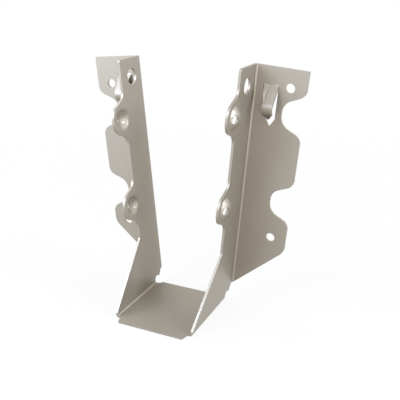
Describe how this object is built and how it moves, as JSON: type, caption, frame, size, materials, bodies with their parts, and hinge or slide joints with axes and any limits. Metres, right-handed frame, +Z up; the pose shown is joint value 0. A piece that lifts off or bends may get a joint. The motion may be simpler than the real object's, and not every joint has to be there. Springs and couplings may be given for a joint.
{
  "type": "joist hanger",
  "caption": "Joist hanger folded from steel sheet: a flat seat, side legs that lean outwards, domed nail seats, and scalloped face flanges with nail holes and pressed prongs.",
  "frame": {"origin": "where the middle of the joist's lower end edge goes: the seat's top, in the plane of the flanges' back faces, midway between the legs", "axes": "+Z up along the joist's height, +Y into the header, -Y along the joist, +X to the right seen from the joist's side"},
  "size_m": [0.1134, 0.0522, 0.1213],
  "materials": {
    "steel": "satin, bare"
  },
  "bodies": {
    "root": {"folded_hanger": "steel"}
  },
  "joints": []
}
